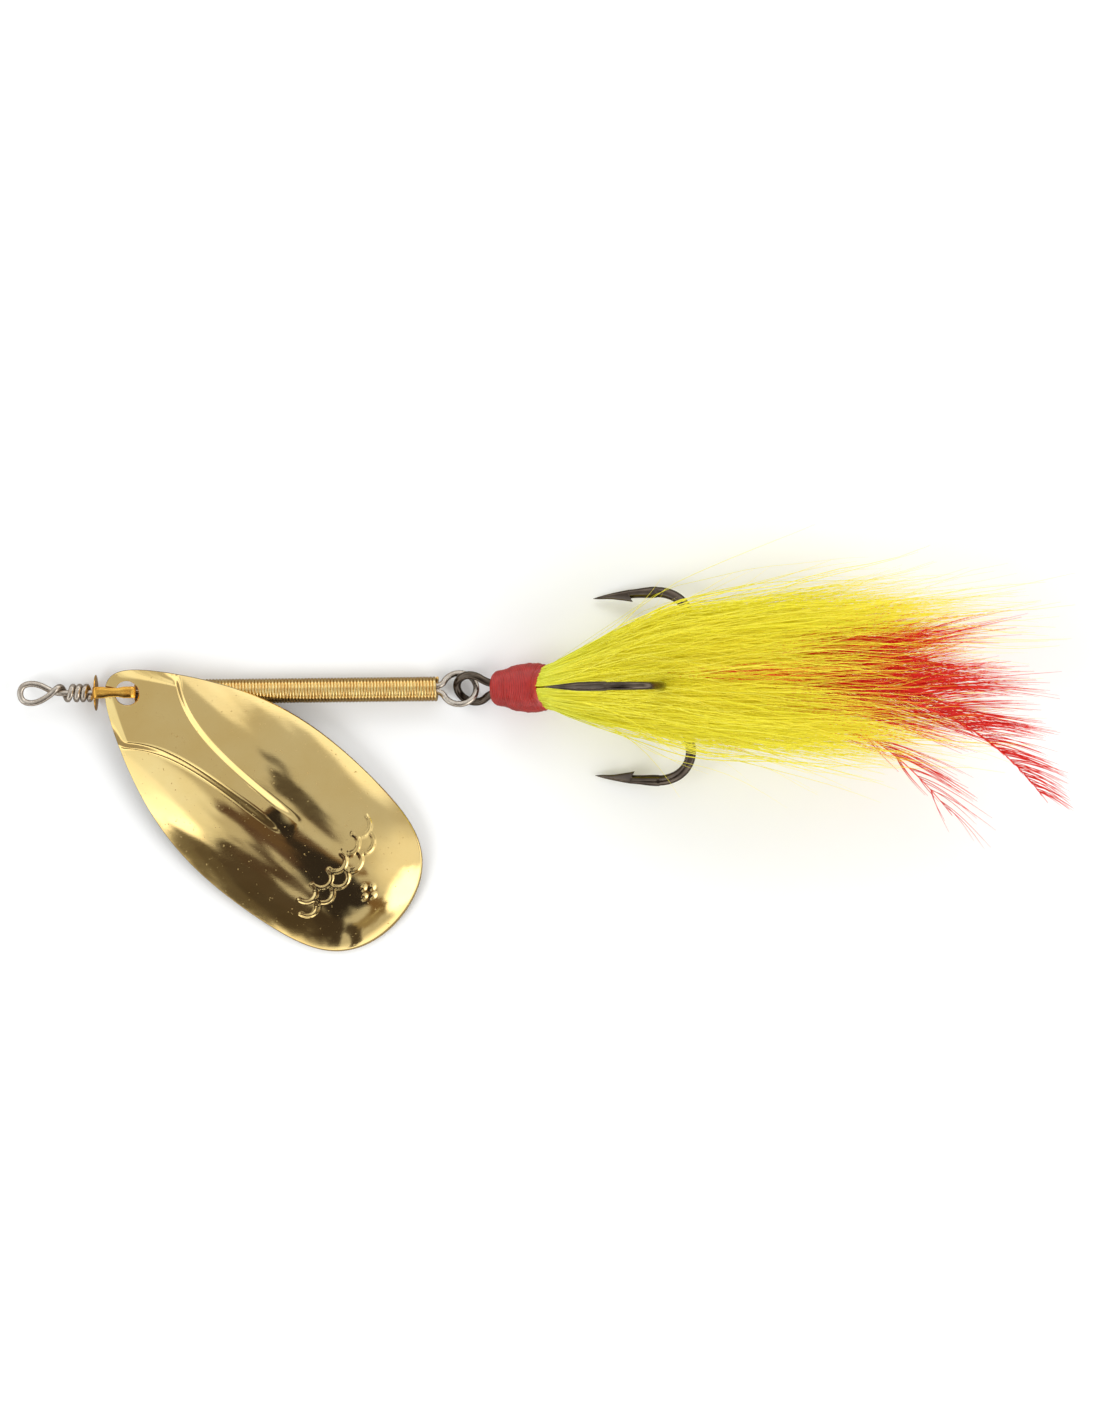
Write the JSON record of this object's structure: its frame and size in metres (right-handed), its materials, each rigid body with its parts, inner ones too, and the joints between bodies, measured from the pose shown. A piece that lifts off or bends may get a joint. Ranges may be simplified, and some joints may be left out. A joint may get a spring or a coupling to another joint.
{
  "type": "inline spinner",
  "caption": "Fishing lure with a wire shaft and line eye, a dished blade that spins on a clevis, a wound body and a treble hook dressed with hair and feathers.",
  "frame": {"origin": "centre of the line eye, on the shaft line", "axes": "+X along the shaft from the line eye to the tail, +Z away from the surface the lure lies on, +Y across"},
  "size_m": [0.1381, 0.0486, 0.0248],
  "materials": {
    "shaft_steel": "bright drawn stainless wire",
    "coil_brass": "bright close-wound brass wire",
    "bead_brass": "polished turned brass",
    "clevis_brass": "polished stamped brass",
    "blade_gold": "mirror-polished gold plating",
    "hook_black_nickel": "glossy black nickel plating",
    "braze_metal": "darkened braze",
    "thread_core": "waxed thread",
    "thread_red": "thread under glossy clear varnish",
    "hair_yellow": "dyed bucktail hair",
    "hackle_red": "dyed hackle feather"
  },
  "bodies": {
    "shaft": {"shaft_wire": "shaft_steel", "body_coil": "coil_brass"},
    "clevis": {"blade_clevis": "clevis_brass"},
    "blade": {"spinner_blade": "blade_gold"},
    "bead": {"bearing_bead": "bead_brass"},
    "hook": {"double_hook": "hook_black_nickel", "third_hook": "hook_black_nickel", "hook_braze": "braze_metal", "thread_underwrap": "thread_core", "thread_whipping": "thread_red", "bucktail_tuft_right": "hair_yellow", "bucktail_tuft_left": "hair_yellow", "bucktail_tuft_under": "hair_yellow", "hackle_feather_upper": "hackle_red", "hackle_feather_middle": "hackle_red", "hackle_feather_lower": "hackle_red", "hackle_feather_outer": "hackle_red"}
  },
  "joints": [
    {"name": "clevis_spin", "type": "hinge", "parent": "shaft", "child": "clevis", "pos_m": [0.0109, 0, 0], "axis": [1, 0, 0], "continuous": true},
    {"name": "blade_swing", "type": "hinge", "parent": "clevis", "child": "blade", "pos_m": [0.0128, 0, 0.0042], "axis": [-0.3408, -0.6502, 0.6791], "range_deg": [0, 52]},
    {"name": "bead_spin", "type": "hinge", "parent": "shaft", "child": "bead", "pos_m": [0.01545, 0, 0], "axis": [1, 0, 0], "continuous": true},
    {"name": "hook_swing", "type": "hinge", "parent": "shaft", "child": "hook", "pos_m": [0.05948, 0, 0], "axis": [0, 0.9063, -0.4226], "range_deg": [-30, 70]}
  ]
}
